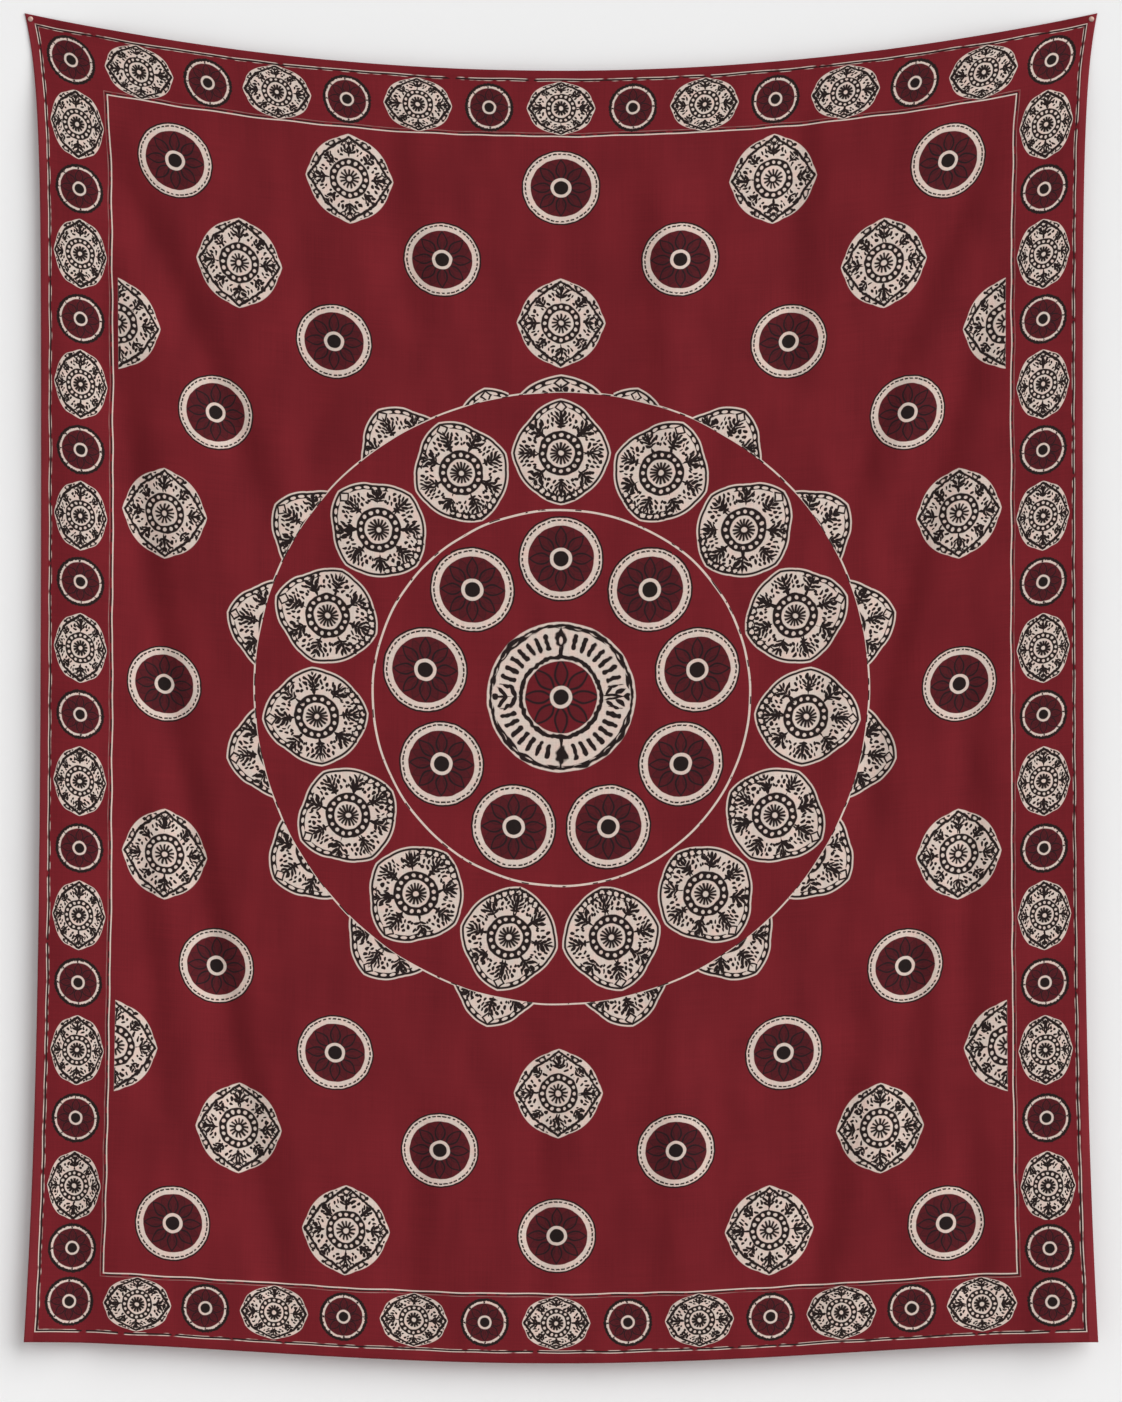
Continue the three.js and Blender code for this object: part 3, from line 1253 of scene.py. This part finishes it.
@dataclass(frozen=True)
class PrintedCotton:
    """Plain-woven cotton, block printed in black and madder on bare cream cloth."""

    layout: Layout
    thread: float = 0.00075
    thread_relief: float = 0.000012
    crumple: float = 0.0008
    roughness: float = 0.88
    sheen: float = 0.12
    blotches: tuple[float, float, float] = (13, 6, 1.0)
    blotch_share: Pair = (1.8, -0.4)
    warm_scale: float = 60.0
    warm_share: Pair = (1.6, -0.55)
    crumple_scale: float = 24.0
    slub: Pair = (420, 9)
    slub_depth: float = 0.13
    # painted highlight on the side hems: its lift of each channel, and where and how softly it
    # starts
    hem_highlight: tuple[float, float, float] = (1.26, 1.70, 1.55)
    hem_at: float = 0.0150
    hem_soft: float = 0.0015
    line_soft: float = 0.0009
    cut_soft: float = 0.0012
    blocks: dict[Block, Any] = field(
        default_factory=lambda: {
            Block.ROUNDEL: (Roundel(), 0.026),
            Block.BORDER_ROUNDEL: (BorderRoundel(), 0.030),
            Block.MEDALLION: (Medallion(), 0.055),
            Block.BORDER_MEDALLION: (border_medallion(), 0.050),
            Block.WHEEL: (Wheel(), 0.050),
            Block.CLIPPED_WHEEL: (Wheel(), 0.050),
            Block.CENTRE: (Centre(), 0.024),
        }
    )

    def material(self, block: Block, side: Side) -> bpy.types.Material:
        """Makes the cloth as one block prints it.

        Args:
            block: the block.
            side: the side of the cloth.

        Returns:
            The material.
        """
        tree = ShadeTree(bpy.data.materials.new(f"cotton_{block.value}_{side.value}"))
        palette = FACE if side is Side.FACE else REVERSE
        cloth = tree.map("cloth")
        parts = tree.node("ShaderNodeSeparateXYZ", {}, {0: cloth})
        patch = Patch(tree, cloth, parts, parts.output("Y"))
        blotch = patch.grain(*self.blotches).share(*self.blotch_share)
        colour = tree.blend(blotch, palette.ground_deep, palette.ground)
        # paints the highlight of the side hems into the ground colour
        colour = self.lit_hem(patch, colour)
        warm = tree.noise(cloth, self.warm_scale, 0.0).share(*self.warm_share)
        bare = tree.blend(warm, palette.bare, palette.bare_warm)
        coats = [self.lines(patch)]
        if block is not Block.GROUND:
            coats.append(self.motif(patch, block))
        for coat in coats:
            if coat.deep:
                colour = tree.blend(coat.deep, colour, palette.flower)
            colour = tree.blend(coat.bare, colour, bare)
            colour = tree.blend(coat.ink, colour, palette.ink)
        return self.finish(patch, colour)

    def lit_hem(self, patch: Patch, colour: Shade) -> Shade:
        """Paints a highlight into the colour of the turned side hems, where the cloth is double
        and its rolled edge catches more light.
        """
        hem = abs(patch.across).over(self.layout.width / 2 - self.hem_at, self.hem_soft)
        return patch.tree.blend(hem, colour, patch.tree.vectors("MULTIPLY", colour, self.hem_highlight))

    def lines(self, patch: Patch) -> Coats:
        """Draws the circles, the frame and the edge line, with their skips and flecks.

        Args:
            patch: the place on the cloth.

        Returns:
            Their coats.
        """
        lay, down, side = self.layout, patch.down, abs(patch.across)
        skip = patch.tree.noise(patch.place, lay.skip_scale, 1.0)
        stray = patch.tree.noise(patch.place, lay.stray_scale, 0.0)
        stray = stray.times(2 * lay.stray, -lay.stray)
        reach = patch.from_centre(lay) + stray * lay.circle_stray
        circle = abs(reach - lay.circle_middle) - lay.circle_gap
        box = (lay.frame_across - side).least(down - lay.frame_top).least(lay.frame_bottom - down)
        box = box + stray * lay.frame_stray
        rim = (lay.width / 2 - side).least(down).least(lay.length - lay.edge_line_drop - down)
        rim = rim + stray * lay.edge_stray - lay.edge_line
        thinning = (lay.circle_half[1] - lay.circle_half[0]) / (2 * lay.circle_gap)
        half = reach.times(thinning, lay.circle_half[0] - thinning * lay.inner_circle)
        bares, inks = [circle.near(0.0, half, self.line_soft)], []
        guides = (
            (circle, (), lay.circle_ink),
            (box, lay.frame_bare, lay.frame_ink),
            (rim, lay.edge_bare, lay.edge_ink),
        )
        for distance, pale, dark in guides:
            bares += [rule.mask(distance, skip, self.line_soft) for rule in pale]
            inks.append(dark.mask(distance, skip, self.line_soft))
        return Coats(0.0, reduce(Shade.__or__, bares), reduce(Shade.__or__, inks))

    def motif(self, patch: Patch, block: Block) -> Coats:
        """Draws the block itself, cut off where another part of the design covers it.

        Args:
            patch: the place on the cloth.
            block: the block.

        Returns:
            Its coats.
        """
        tree, lay = patch.tree, self.layout
        if block is Block.WHEEL:
            place, seed = self.on_ring(patch)
        else:
            place, seed = tree.map("stamp"), tree.map("stamp_seed")
        drawing, wander = self.blocks[block]
        coats = drawing.coats(Spot.on(tree, place, seed, wander))
        if block is Block.CLIPPED_WHEEL:
            keep = patch.from_centre(lay).over(lay.outer_circle, self.cut_soft)
        elif block is Block.MEDALLION:
            keep = 1 - abs(patch.across).near(*lay.clip_band, self.cut_soft)
        else:
            return coats
        return Coats(coats.deep, coats.bare * keep, coats.ink * keep)

    def on_ring(self, patch: Patch) -> tuple[Shade, Shade]:
        """Finds a place on the nearest wheel of the mandala's ring.

        Args:
            patch: the place on the cloth.

        Returns:
            The place on the wheel, and an offset that differs from wheel to wheel.
        """
        tree, lay = patch.tree, self.layout
        right, rise = lay.on_mandala(patch.across, patch.down)
        reach = tree.span(right, rise)
        angle = tree.math("ARCTAN2", right, rise)
        step = math.tau / lay.wheel_count
        number = tree.math("ROUND", angle * (1 / step))
        turn = number.times(-step, angle)
        x = turn.sine() * reach * (1 / lay.wheel_radius)
        y = (turn.cosine() * reach).times(1 / lay.wheel_radius, -lay.wheel_ring / lay.wheel_radius)
        return tree.vector(x, y), tree.vector(*(number * shift for shift in lay.wheel_seed))

    def finish(self, patch: Patch, colour: Shade) -> bpy.types.Material:
        """Adds the threads of the weave, its relief and the crumples, and ends the tree.

        Args:
            patch: the place on the cloth.
            colour: the colour of the cloth.

        Returns:
            The material.
        """
        tree, pitch = patch.tree, math.tau / self.thread
        threads = patch.grain(*self.slub) + patch.grain(*self.slub[::-1])
        slub = {0: colour, "Scale": threads.times(self.slub_depth, 1 - self.slub_depth)}
        weave = (patch.across * pitch).sine() * (patch.down * pitch).sine()
        crumples = tree.noise(patch.place, self.crumple_scale, 1.0) * self.crumple
        relief = {"Strength": 1.0, "Distance": 1.0}
        relief["Height"] = weave.times(self.thread_relief, crumples)
        surface = {
            "Base Color": tree.node("ShaderNodeVectorMath", {"operation": "SCALE"}, slub),
            "Roughness": self.roughness,
            "Specular IOR Level": self.sheen,
            "Normal": tree.node("ShaderNodeBump", {}, relief),
        }
        return tree.end(tree.node("ShaderNodeBsdfPrincipled", {}, surface))


# ---- the hanging sheet


@dataclass(frozen=True)
class Outline:
    """The outline of the hanging sheet."""

    corner_span: float = 2.182
    corner_rise: float = 0.012
    corner_drop: float = 2.689
    top_sag: float = 0.118
    bottom_bow: float = 0.043
    left_draw: float = 0.035
    right_draw: float = 0.031
    draw_start: float = 0.055
    draw_end: float = 5.0
    print_draw: float = 0.22
    print_edge: float = 0.97
    lean: float = 0.010
    lean_start: float = 0.55
    lean_right: float = 0.8

    def across(self, u: float, v: float) -> float:
        """Places a point of the cloth across the wall.

        The sides are drawn in between the corners. Near the bottom the printed part stays drawn
        in a little more than the edges, and leans to the left.

        Args:
            u: the place across the cloth.
            v: the place down it.

        Returns:
            The distance from the middle, x.
        """
        draw = self.left_draw if u < 0 else self.right_draw
        inner = 1 - smooth_step(self.print_edge, 1.0, abs(u))
        release = v**self.draw_end * (1 - self.print_draw * inner)
        draw *= (1 - math.exp(-v / self.draw_start)) * (1 - release)
        lean = self.lean * smooth_step(self.lean_start, 1.0, v) * (1 - u * u)
        return u * (self.corner_span / 2 - draw) - lean * (1 + self.lean_right * u)

    def up(self, u: float, v: float) -> float:
        """Returns z at (u, v)."""
        top = self.corner_rise - self.top_sag * (1 - u * u)
        bottom = -self.corner_drop - self.bottom_bow * (1 - u * u) ** 2
        return mix(top, bottom, v)


@dataclass(frozen=True)
class Fold:
    """A soft fold from (x0, z0) down to (x1, z1); a negative depth is a ridge."""

    x0: float
    z0: float
    x1: float
    z1: float
    bow: float
    depth: float
    width: float

    def press(self, x: float, z: float) -> float:
        """Returns how far the fold presses the cloth towards the wall at (x, z)."""
        along = (self.z0 - z) / (self.z0 - self.z1)
        if along <= 0 or along >= 1:
            return 0.0
        middle = mix(self.x0, self.x1, along) + 4 * self.bow * along * (1 - along)
        across = (x - middle) / self.width
        return self.depth * (1 - (2 * along - 1) ** 4) * math.exp(-across * across)


FOLDS = (
    # drag folds that sweep down and inwards from the left corner
    Fold(-0.965, -0.200, -0.575, -1.130, 0.035, 0.021, 0.048),
    Fold(-0.950, -0.400, -0.540, -2.720, -0.025, 0.024, 0.044),
    Fold(-0.887, -1.385, -0.816, -2.260, 0.0, 0.015, 0.040),
    Fold(-0.520, -0.330, -0.500, -1.300, 0.0, 0.011, 0.046),
    Fold(-1.000, -0.180, -1.010, -2.300, 0.010, -0.012, 0.060),
    # the same from the right corner
    Fold(0.915, -0.150, 0.540, -1.130, -0.026, 0.022, 0.046),
    Fold(0.537, -1.182, 0.486, -1.792, 0.0, 0.012, 0.044),
    Fold(0.900, -0.480, 0.590, -1.760, -0.039, 0.024, 0.044),
    Fold(0.828, -1.263, 0.816, -2.178, 0.0, 0.016, 0.038),
    Fold(0.726, -1.751, 0.700, -2.321, 0.0, 0.016, 0.038),
    Fold(0.604, -1.955, 0.476, -2.720, 0.010, 0.018, 0.044),
    Fold(0.822, -2.158, 0.842, -2.640, 0.0, 0.013, 0.040),
    # slack across the middle, in troughs and ridges
    Fold(-0.358, -0.165, -0.307, -0.650, 0.0, 0.014, 0.046),
    Fold(0.212, -0.236, 0.226, -0.938, 0.0, -0.018, 0.050),
    Fold(0.486, -0.104, 0.456, -0.795, 0.0, 0.016, 0.048),
    Fold(0.226, -1.890, 0.252, -2.640, 0.0, -0.018, 0.050),
    Fold(-0.043, -2.077, -0.063, -2.640, 0.0, 0.013, 0.046),
    Fold(-0.297, -2.158, -0.317, -2.720, 0.0, 0.016, 0.044),
    # the loose bottom corners
    Fold(-1.000, -2.300, -0.965, -2.760, 0.0, 0.014, 0.048),
    Fold(1.010, -2.300, 1.000, -2.760, 0.0, -0.011, 0.060),
)


@dataclass(frozen=True)
class Facet:
    """One face of the sheet, its corners by layer, row and column, and their bake map."""

    side: Side
    corners: list[tuple[int, int, int]]
    bake: list[Pair]


@dataclass(frozen=True)
class HungSheet:
    """The printed sheet, a closed mesh with a face, a reverse and a rim."""

    layout: Layout
    outline: Outline = Outline()
    pin_x: float = 1.079
    field_thickness: float = 0.0016
    hem_thickness: float = 0.0028
    edge_thickness: float = 0.0018
    hem_width: float = 0.014
    hem_step: float = 0.003
    hem_round: float = 0.0008
    hem_lines: tuple[float, ...] = (0.0, 0.0008, 0.0045, 0.0095, 0.0134, 0.0150)
    at_pins: float = 0.001
    stand_top: float = 0.022
    stand_bottom: float = 0.042
    flat_radius: float = 0.030
    free_radius: float = 0.240
    columns: int = 176
    rows: int = 216
    ripple: float = 0.0026
    # long and short ripples: cells to the metre across and up, and the slice of the noise
    ripples: tuple[Point, Point] = ((12.0, 3.0, 0.7), (23.0, 11.0, 4.1))
    short_share: float = 0.45
    pucker: float = 0.0016
    pucker_start: Pair = (0.010, 0.045)
    pucker_reach: float = 0.11
    gathers: int = 11
    # the bake map: the face, the reverse and the strips of the rim, side by side
    face_map: Pair = (0.004, 0.732)
    reverse_map: Pair = (0.752, 0.996)
    map_down: Pair = (0.003, 0.997)
    rim_map: float = 0.7355
    rim_pitch: float = 0.004
    rim_strip: float = 0.002
    # how the noise moves on from one stamp to the next, and where it starts again
    seed_steps: tuple[Pair, Pair] = ((2.3, 29), (5.1, 31))

    def lines(self, length: float, count: int) -> list[float]:
        """Spaces the grid lines from edge to edge, close together in the hems.

        Args:
            length: the length of the cloth along them.
            count: the spaces between the hems.

        Returns:
            Their places as shares of the length.
        """
        start = [place / length for place in self.hem_lines]
        inner = (self.hem_width + self.hem_step) / length
        field_lines = [mix(inner, 1 - inner, i / count) for i in range(count + 1)]
        return [*start, *field_lines, *(1 - place for place in reversed(start))]

    def thickness(self, u: float, v: float) -> float:
        """Returns the thickness of the cloth at (u, v), greater in the hem.

        Args:
            u: the place across.
            v: the place down.

        Returns:
            The thickness.
        """
        across = (1 - abs(u)) * self.layout.width / 2
        down = min(v, 1 - v) * self.layout.length
        inside = min(across, down)
        if inside < self.hem_width:
            share = min(1.0, inside / self.hem_round)
            return mix(self.edge_thickness, self.hem_thickness, share)
        share = smooth_step(self.hem_width, self.hem_width + self.hem_step, inside)
        return mix(self.hem_thickness, self.field_thickness, share)

    def stand_off(self, u: float, v: float) -> float:
        """Returns the distance of the reverse from the wall at (u, v).

        Args:
            u: the place across.
            v: the place down.

        Returns:
            The distance.
        """
        x, z = self.outline.across(u, v), self.outline.up(u, v)
        folds = sum(fold.press(x, z) for fold in FOLDS)
        to_pin = math.hypot(abs(x) - self.pin_x, z)
        free = smooth_step(self.flat_radius, self.free_radius, to_pin)
        hang = mix(self.stand_top, self.stand_bottom, v) - folds
        return self.at_pins + free * (hang + self.unevenness(x, z)) + self.puckers(x, z, to_pin)

    def unevenness(self, x: float, z: float) -> float:
        """Returns the small ripples that the larger folds leave in the cloth at (x, z)."""
        long, short = (noise.noise(Vector((x * a, z * b, c))) for a, b, c in self.ripples)
        return self.ripple * (long + self.short_share * short)

    def puckers(self, x: float, z: float, to_pin: float) -> float:
        """Returns the small gathers that radiate from a pin.

        Args:
            x: the place across the wall.
            z: the place up the wall.
            to_pin: the distance to the pin.

        Returns:
            How far they lift the cloth off the wall.
        """
        inwards = self.pin_x - abs(x)
        angle = math.atan2(-z, inwards)
        fade = smooth_step(*self.pucker_start, to_pin) * math.exp(-to_pin / self.pucker_reach)
        return self.pucker * fade * (1 + math.cos(angle * self.gathers))

    def build(self, cotton: PrintedCotton) -> bpy.types.Object:
        """Makes the sheet's mesh, its maps and its materials.

        Args:
            cotton: its finish.

        Returns:
            The sheet.
        """
        us = [2 * place - 1 for place in self.lines(self.layout.width, self.columns)]
        vs = self.lines(self.layout.length, self.rows)
        back, front = [], []
        for v in vs:
            for u in us:
                x, z, gap = self.outline.across(u, v), self.outline.up(u, v), self.stand_off(u, v)
                back.append((x, -gap, z))
                front.append((x, -gap - self.thickness(u, v), z))
        facets = self.facets(us, vs)
        size = len(us) * len(vs)
        faces = [
            tuple(layer * size + row * len(us) + col for layer, row, col in facet.corners)
            for facet in facets
        ]
        mesh = bpy.data.meshes.new("printed_cotton_sheet")
        mesh.from_pydata(front + back, [], faces)
        half, length = self.layout.width / 2, self.layout.length
        flat = [[(us[col] * half, vs[row] * length) for _, row, col in f.corners] for f in facets]
        self.lay_maps(mesh, facets, flat)
        for side in Side:
            for block in Block:
                mesh.materials.append(cotton.material(block, side))
        mesh.shade_smooth()
        mesh.validate()
        log.info("sheet: %d by %d points, %d faces", len(us), len(vs), len(faces))
        return add_object("cotton_sheet", mesh)

    def facets(self, us: list[float], vs: list[float]) -> list[Facet]:
        """Lists the faces of both sides and of the rim.

        Args:
            us: the grid's places across.
            vs: its places down.

        Returns:
            The faces.
        """
        maps = {Side.FACE: self.face_map, Side.REVERSE: self.reverse_map}
        ups = [1 - mix(*self.map_down, v) for v in vs]
        overs = [mix(*self.map_down, (u + 1) / 2) for u in us]
        last_row, last_col = len(vs) - 1, len(us) - 1
        facets = []
        for row in range(last_row):
            for col in range(last_col):
                around = [(row, col), (row + 1, col), (row + 1, col + 1), (row, col + 1)]
                for layer, side in enumerate(Side):
                    bake = [(mix(*maps[side], (us[c] + 1) / 2), ups[r]) for r, c in around]
                    facets.append(Facet(side, [(layer, *place) for place in around], bake))
                    around = around[::-1]
        rims = (
            [(row, 0) for row in range(last_row + 1)],
            [(row, last_col) for row in range(last_row, -1, -1)],
            [(0, col) for col in range(last_col, -1, -1)],
            [(last_row, col) for col in range(last_col + 1)],
        )
        for number, rim in enumerate(rims):
            left = self.rim_map + self.rim_pitch * number
            for place, after in zip(rim, rim[1:]):
                corners = [(0, *place), (1, *place), (1, *after), (0, *after)]
                along = [ups[r] if number < 2 else overs[c] for _, r, c in corners]
                bake = [(left + self.rim_strip * c[0], up) for c, up in zip(corners, along)]
                facets.append(Facet(Side.FACE, corners, bake))
        return facets

    def lay_maps(self, mesh: bpy.types.Mesh, facets: list[Facet], flat: list[list[Pair]]) -> None:
        """Lays the print on the mesh: where each face is on the cloth and on its block.

        Args:
            mesh: the mesh of the sheet.
            facets: its faces.
            flat: the corners of each face on the flat cloth.
        """
        printer = Printer(self.layout)
        blocks = list(Block)
        maps: dict[str, list[float]] = {"OFBake": [], "cloth": [], "stamp": [], "stamp_seed": []}
        slots: list[int] = []
        for facet, corners in zip(facets, flat, strict=True):
            middle = [sum(c[i] for c in corners) / len(corners) for i in (0, 1)]
            block, stamp, number = printer.stamp_at(*middle)
            for corner, place in zip(corners, facet.bake, strict=True):
                maps["OFBake"].extend(place)
                maps["cloth"].extend(corner)
                maps["stamp"].extend(stamp.local(*corner) if stamp else (0.0, 0.0))
                maps["stamp_seed"].extend(number * step % turn for step, turn in self.seed_steps)
            slots.append(blocks.index(block) + (0 if facet.side is Side.FACE else len(blocks)))
        for name, values in maps.items():
            layer = mesh.uv_layers.new(name=name, do_init=False)
            layer.data.foreach_set("uv", values)
        mesh.polygons.foreach_set("material_index", slots)


# ---- pins


@dataclass(frozen=True)
class PinSteel:
    """Dull nickelled steel, lightly scratched; its warm pinkish cast is partly its own tone and
    partly a painted reflection of the red cloth.
    """

    # both colours carry a pinkish cast that is partly a painted reflection of the red cloth
    colour: Colour = dye(205, 178, 166)
    worn: Colour = dye(158, 128, 118)
    roughness: float = 0.50
    rubbed: float = 0.3
    metallic: float = 0.85
    wear_scale: float = 900.0
    grain_scale: float = 5200.0
    grain_height: float = 0.0001
    grain_strength: float = 0.4

    def material(self) -> bpy.types.Material:
        """Makes the material.

        Returns:
            The material.
        """
        tree = ShadeTree(bpy.data.materials.new("pin_steel"))
        place = tree.node("ShaderNodeTexCoord", {}, {}, "Object")
        settings = {"noise_dimensions": "3D"}
        wear = {"Vector": place, "Scale": self.wear_scale, "Detail": 3.0}
        rub = tree.node("ShaderNodeTexNoise", settings, wear, "Fac")
        colour = tree.blend(rub.share(2.0, -0.7), self.worn, self.colour)
        fine = {"Vector": place, "Scale": self.grain_scale, "Detail": 2.0}
        grain = tree.node("ShaderNodeTexNoise", settings, fine, "Fac")
        bump = {"Strength": self.grain_strength, "Distance": self.grain_height, "Height": grain}
        surface = {
            "Base Color": colour,
            "Metallic": self.metallic,
            "Roughness": rub.times(self.rubbed, self.roughness - self.rubbed / 2),
            "Normal": tree.node("ShaderNodeBump", {}, bump),
        }
        return tree.end(tree.node("ShaderNodeBsdfPrincipled", {}, surface))


@dataclass(frozen=True)
class WallPin:
    """A flat-headed steel pin, pushed through the cloth into the wall."""

    side: str
    x: float
    head_radius: float = 0.0055
    head_height: float = 0.0022
    shank_radius: float = 0.0009
    point_length: float = 0.003
    length: float = 0.017
    head_back: float = -0.0041
    sides: int = 40
    dome_steps: int = 7
    rim_share: float = 0.35
    bevel_share: float = 0.4
    bevel_radius: float = 0.96

    def profile(self) -> list[Pair]:
        """Lists the profile from the middle of the head to the point.

        Returns:
            Radius and distance from the wall, room side first.
        """
        dome = []
        rim = self.head_height * self.rim_share
        for i in range(self.dome_steps + 1):
            angle = math.pi / 2 * i / self.dome_steps
            rise = rim + (self.head_height - rim) * math.cos(angle)
            dome.append((self.head_radius * math.sin(angle), self.head_back - rise))
        edge, back = self.head_radius, self.head_back
        bevel = [(edge, back - rim * self.bevel_share), (edge * self.bevel_radius, back)]
        point = back + self.length
        shank = [(self.shank_radius, y) for y in (back, point - self.point_length)]
        return [*dome, *bevel, *shank, (0.0, point)]

    def build(self, steel: bpy.types.Material) -> bpy.types.Object:
        """Turns the profile about the pin's axis.

        Args:
            steel: its material.

        Returns:
            The pin.
        """
        rings = self.profile()
        points: list[Point] = [(self.x, rings[0][1], 0.0)]
        for radius, y in rings[1:-1]:
            for k in range(self.sides):
                angle = math.tau * k / self.sides
                points.append(
                    (self.x + radius * math.cos(angle), y, radius * math.sin(angle))
                )
        points.append((self.x, rings[-1][1], 0.0))
        faces: list[tuple[int, ...]] = []
        last = len(rings) - 3
        for k in range(self.sides):
            following = (k + 1) % self.sides
            faces.append((0, 1 + k, 1 + following))
            for ring in range(last):
                low, high = 1 + ring * self.sides, 1 + (ring + 1) * self.sides
                faces.append((low + k, high + k, high + following, low + following))
            end = 1 + last * self.sides
            faces.append((end + k, len(points) - 1, end + following))
        mesh = bpy.data.meshes.new(f"steel_pin_{self.side}")
        mesh.from_pydata(points, [], faces)
        mesh.materials.append(steel)
        mesh.shade_smooth()
        log.info("pin %s: %d faces", self.side, len(faces))
        return add_object(mesh.name, mesh)


# ---- studio


@dataclass(frozen=True)
class PlainPaint:
    """Matt paint that shows from one side only, and can let the light behind it through."""

    name: str
    colour: Colour
    lets_light_by: bool

    def material(self) -> bpy.types.Material:
        """Makes the material.

        Returns:
            The material.
        """
        tree = ShadeTree(bpy.data.materials.new(self.name))
        paint = {"Base Color": self.colour, "Roughness": 0.95, "Specular IOR Level": 0.1}
        front = tree.node("ShaderNodeBsdfPrincipled", {}, paint)
        clear = tree.node("ShaderNodeBsdfTransparent", {}, {})
        shows = 1 - tree.node("ShaderNodeNewGeometry", {}, {}, "Backfacing")
        if self.lets_light_by:
            shows = shows * tree.looked_at()
        return tree.end(tree.node("ShaderNodeMixShader", {}, {0: shows, 1: clear, 2: front}))


@dataclass(frozen=True)
class Studio:
    """The wall, the floor, the lamps and the camera."""

    view_height: float = 2.852
    view_middle: float = -1.387
    distance: float = 24.0
    floor: float = -2.90
    top: float = 6.0
    half_width: float = 9.0
    front: float = -26.0
    wall: Colour = dye(238, 238, 238)
    daylight: float = 0.45
    backdrop: float = 0.87
    key_strength: float = 2.30
    key_from: Point = (7.0, -7.5, 6.0)
    key_softness: float = 1.0

    def build(self) -> None:
        """Sets up the studio."""
        self.camera()
        wide, front, low, top = self.half_width, self.front, self.floor, self.top
        corners = ((-wide, 0, low), (wide, 0, low), (wide, 0, top), (-wide, 0, top))
        self.plane("studio_wall", corners, True)
        corners = ((-wide, front, low), (wide, front, low), (wide, 0, low), (-wide, 0, low))
        self.plane("studio_floor", corners, False)
        self.key()
        self.sky()
        bpy.context.scene.view_settings.view_transform = "Standard"

    def camera(self) -> None:
        """Stands the camera straight in front of the sheet, with a long lens."""
        lens = bpy.data.cameras.new("camera")
        lens.sensor_fit = "VERTICAL"
        lens.sensor_height = 24.0
        lens.lens = lens.sensor_height * self.distance / self.view_height
        camera = add_object("camera", lens)
        camera.location = (0.0, -self.distance, self.view_middle)
        camera.rotation_euler = (math.pi / 2, 0.0, 0.0)
        bpy.context.scene.camera = camera

    def plane(self, name: str, corners: tuple[Point, ...], lets_light_by: bool) -> None:
        """Adds a plain painted plane of the stage.

        Args:
            name: its name.
            corners: its corners, anticlockwise as seen from the room.
            lets_light_by: whether light from behind reaches the reverse of the sheet.
        """
        mesh = bpy.data.meshes.new(name)
        mesh.from_pydata(list(corners), [], [(0, 1, 2, 3)])
        mesh.materials.append(PlainPaint(name, self.wall, lets_light_by).material())
        plane = add_object(name, mesh)

    def key(self) -> None:
        """Adds the soft main light, from above and to the right."""
        light = bpy.data.lights.new("key", "SUN")
        light.energy, light.angle = self.key_strength, self.key_softness
        lamp = add_object("key", light)
        lamp.location = self.key_from
        lamp.rotation_euler = (-Vector(self.key_from)).to_track_quat("-Z", "Y").to_euler()

    def sky(self) -> None:
        """Fills the room with even white light, and shows a pale backdrop all round."""
        tree = ShadeTree(bpy.data.worlds.new("room_light"))
        strength = tree.looked_at().times(self.backdrop - self.daylight, self.daylight)
        light = {"Color": (1.0, 1.0, 1.0, 1.0), "Strength": strength}
        bpy.context.scene.world = tree.end(tree.node("ShaderNodeBackground", {}, light))


# ---- assembly


def main() -> None:
    """Builds the studio, the sheet and its pins."""
    logging.basicConfig(level=logging.INFO, format="%(name)s: %(message)s")
    Studio().build()
    layout = Layout()
    hung = HungSheet(layout)
    sheet = hung.build(PrintedCotton(layout))
    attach(sheet, "root")
    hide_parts("printed_sheet")
    steel = PinSteel().material()
    for side, x in (("left", -hung.pin_x), ("right", hung.pin_x)):
        pin = WallPin(side, x).build(steel)
        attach(pin, "root")
        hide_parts(f"pin_{side}")


if __name__ == "__main__":
    main()
